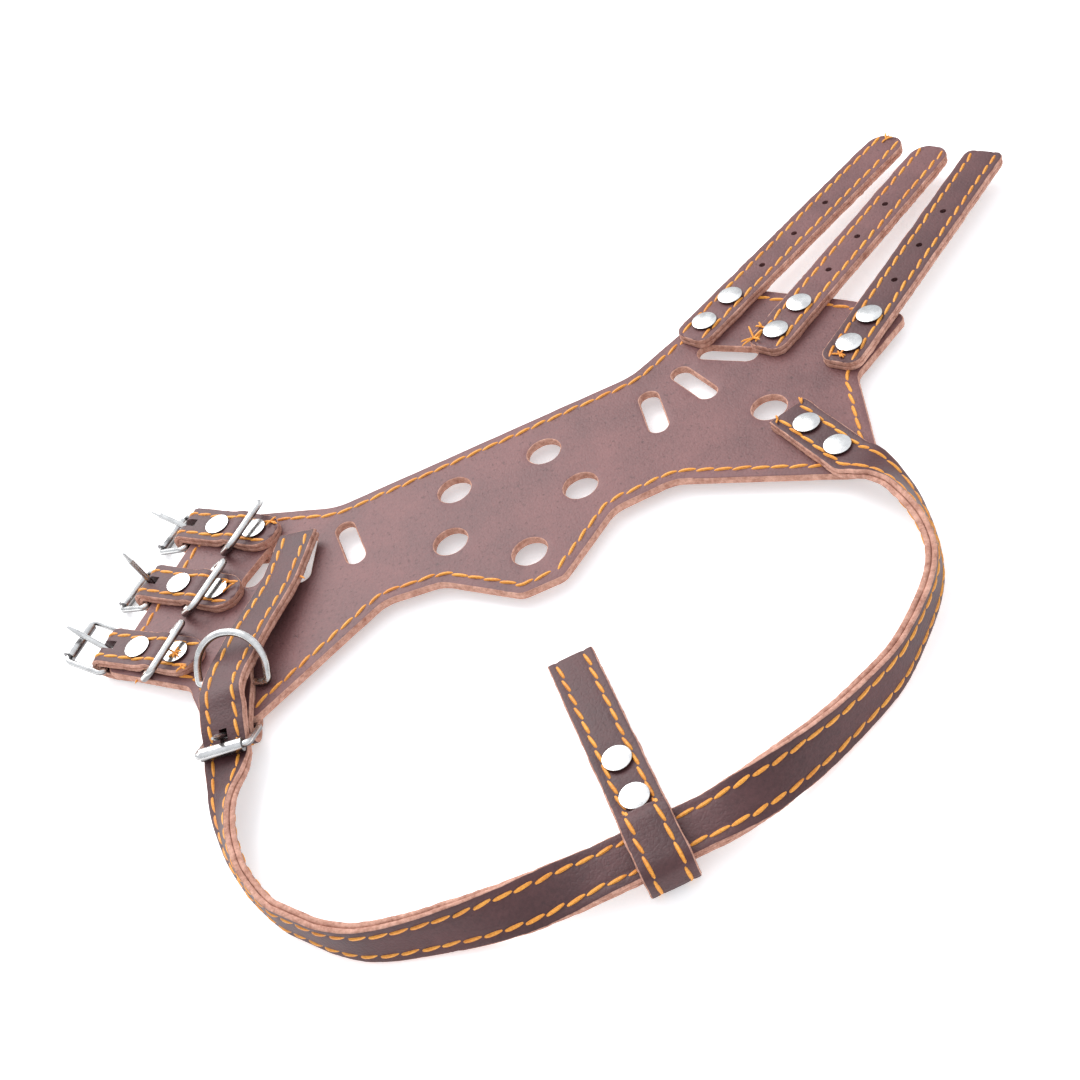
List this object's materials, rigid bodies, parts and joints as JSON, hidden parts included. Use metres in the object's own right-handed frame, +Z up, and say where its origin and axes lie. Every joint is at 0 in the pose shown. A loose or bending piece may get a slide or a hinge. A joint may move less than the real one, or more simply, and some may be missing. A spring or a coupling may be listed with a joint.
{
  "type": "leather muzzle harness",
  "caption": "Leather dog muzzle harness laid flat: a vented, stitched panel with billets, folded tabs with roller buckles and keepers, and a buckled neck strap.",
  "frame": {"origin": "middle of the panel's length at table level, between the two rows of vents", "axes": "+X along the panel from the buckle end to the billet end, +Y from the neck strap to the panel, +Z up"},
  "size_m": [0.3783, 0.2774, 0.0246],
  "materials": {
    "panel_leather": "smooth waxed grain",
    "strap_leather": "smooth waxed grain",
    "lining_leather": "raw flesh side",
    "rivet_nickel": "bright nickel",
    "buckle_nickel": "bright nickel"
  },
  "bodies": {
    "harness": {"panel": "panel_leather", "billet_1_root_lining": "lining_leather", "billet_1_root_face": "strap_leather", "billet_2_root_lining": "lining_leather", "billet_2_root_face": "strap_leather", "billet_3_root_lining": "lining_leather", "billet_3_root_face": "strap_leather", "tab_1_lining": "lining_leather", "tab_1_face": "strap_leather", "tab_2_lining": "lining_leather", "tab_2_face": "strap_leather", "tab_3_lining": "lining_leather", "tab_3_face": "strap_leather", "neck_chape_lining": "lining_leather", "neck_chape_face": "strap_leather", "neck_buckle_frame": "buckle_nickel", "neck_buckle_prong": "buckle_nickel", "neck_strap_lining": "lining_leather", "neck_strap_face": "strap_leather", "billet_rivet_caps": "rivet_nickel", "billet_rivet_posts": "rivet_nickel", "tab_rivet_caps": "rivet_nickel", "tab_rivet_posts": "rivet_nickel", "chape_rivet_caps": "rivet_nickel", "chape_rivet_posts": "rivet_nickel", "neck_rivet_caps": "rivet_nickel", "neck_rivet_posts": "rivet_nickel"},
    "billet_1": {"billet_1_free_face": "strap_leather", "billet_1_free_lining": "lining_leather"},
    "billet_2": {"billet_2_free_face": "strap_leather", "billet_2_free_lining": "lining_leather"},
    "billet_3": {"billet_3_free_face": "strap_leather", "billet_3_free_lining": "lining_leather"},
    "buckle_1_frame": {"buckle_1_frame": "buckle_nickel"},
    "buckle_1_prong": {"buckle_1_prong": "buckle_nickel"},
    "buckle_1_roller": {"buckle_1_roller": "buckle_nickel"},
    "keeper_1": {"keeper_1": "buckle_nickel"},
    "buckle_2_frame": {"buckle_2_frame": "buckle_nickel"},
    "buckle_2_prong": {"buckle_2_prong": "buckle_nickel"},
    "buckle_2_roller": {"buckle_2_roller": "buckle_nickel"},
    "keeper_2": {"keeper_2": "buckle_nickel"},
    "buckle_3_frame": {"buckle_3_frame": "buckle_nickel"},
    "buckle_3_prong": {"buckle_3_prong": "buckle_nickel"},
    "buckle_3_roller": {"buckle_3_roller": "buckle_nickel"},
    "keeper_3": {"keeper_3": "buckle_nickel"},
    "neck_roller": {"neck_buckle_roller": "buckle_nickel"},
    "neck_keeper": {"neck_keeper": "buckle_nickel"},
    "slide_loop": {"slide_loop_face": "strap_leather", "slide_loop_lining": "lining_leather", "loop_rivet_caps": "rivet_nickel", "loop_rivet_posts": "rivet_nickel"}
  },
  "joints": [
    {"name": "billet_1_bend", "type": "hinge", "parent": "harness", "child": "billet_1", "pos_m": [0.11168, 0.05491, 0.0112], "axis": [0.5225, -0.8526, 0], "range_deg": [0, 75]},
    {"name": "billet_2_bend", "type": "hinge", "parent": "harness", "child": "billet_2", "pos_m": [0.1303, 0.03583, 0.0112], "axis": [0.5821, -0.8131, 0], "range_deg": [0, 75]},
    {"name": "billet_3_bend", "type": "hinge", "parent": "harness", "child": "billet_3", "pos_m": [0.1473, 0.01525, 0.0112], "axis": [0.6428, -0.766, 0], "range_deg": [0, 75]},
    {"name": "buckle_1_tilt", "type": "hinge", "parent": "harness", "child": "buckle_1_frame", "pos_m": [-0.11296, 0.05328, 0.0061], "axis": [0.6361, 0.7716, 0], "range_deg": [-45, 45]},
    {"name": "prong_1_lift", "type": "hinge", "parent": "buckle_1_frame", "child": "buckle_1_prong", "pos_m": [-0.11296, 0.05328, 0.0061], "axis": [0.6361, 0.7716, 0], "range_deg": [-28, 32]},
    {"name": "roller_1_spin", "type": "hinge", "parent": "buckle_1_frame", "child": "buckle_1_roller", "pos_m": [-0.12354, 0.06201, 0.00243], "axis": [0.6361, 0.7716, 0], "continuous": true},
    {"name": "keeper_1_swing", "type": "hinge", "parent": "harness", "child": "keeper_1", "pos_m": [-0.09606, 0.03935, 0.00901], "axis": [-0.6361, -0.7716, 0], "range_deg": [0, 100]},
    {"name": "buckle_2_tilt", "type": "hinge", "parent": "harness", "child": "buckle_2_frame", "pos_m": [-0.13015, 0.0308, 0.0061], "axis": [0.6428, 0.766, 0], "range_deg": [-45, 15]},
    {"name": "prong_2_lift", "type": "hinge", "parent": "buckle_2_frame", "child": "buckle_2_prong", "pos_m": [-0.13015, 0.0308, 0.0061], "axis": [0.6428, 0.766, 0], "range_deg": [-75, 15]},
    {"name": "roller_2_spin", "type": "hinge", "parent": "buckle_2_frame", "child": "buckle_2_roller", "pos_m": [-0.14065, 0.03962, 0.00243], "axis": [0.6428, 0.766, 0], "continuous": true},
    {"name": "keeper_2_swing", "type": "hinge", "parent": "harness", "child": "keeper_2", "pos_m": [-0.11337, 0.01672, 0.00901], "axis": [-0.6428, -0.766, 0], "range_deg": [0, 100]},
    {"name": "buckle_3_tilt", "type": "hinge", "parent": "harness", "child": "buckle_3_frame", "pos_m": [-0.14812, 0.007, 0.0061], "axis": [0.6074, 0.7944, 0], "range_deg": [-70, 30]},
    {"name": "prong_3_lift", "type": "hinge", "parent": "buckle_3_frame", "child": "buckle_3_prong", "pos_m": [-0.14812, 0.007, 0.0061], "axis": [0.6074, 0.7944, 0], "range_deg": [-6, 34]},
    {"name": "roller_3_spin", "type": "hinge", "parent": "buckle_3_frame", "child": "buckle_3_roller", "pos_m": [-0.15873, 0.01511, 0.01096], "axis": [0.6074, 0.7944, 0], "continuous": true},
    {"name": "keeper_3_swing", "type": "hinge", "parent": "harness", "child": "keeper_3", "pos_m": [-0.13073, -0.0063, 0.00901], "axis": [-0.6074, -0.7944, 0], "range_deg": [0, 100]},
    {"name": "neck_roller_spin", "type": "hinge", "parent": "harness", "child": "neck_roller", "pos_m": [-0.11162, -0.06547, 0.0132], "axis": [-0.9848, 0.1736, 0], "continuous": true},
    {"name": "neck_keeper_swing", "type": "hinge", "parent": "harness", "child": "neck_keeper", "pos_m": [-0.10619, -0.03465, 0.00901], "axis": [0.8988, -0.4384, 0], "range_deg": [0, 40]},
    {"name": "slide_loop_slide", "type": "slide", "parent": "harness", "child": "slide_loop", "axis": [0.9986, 0.0523, 0], "range_m": [-0.008, 0.008]}
  ]
}
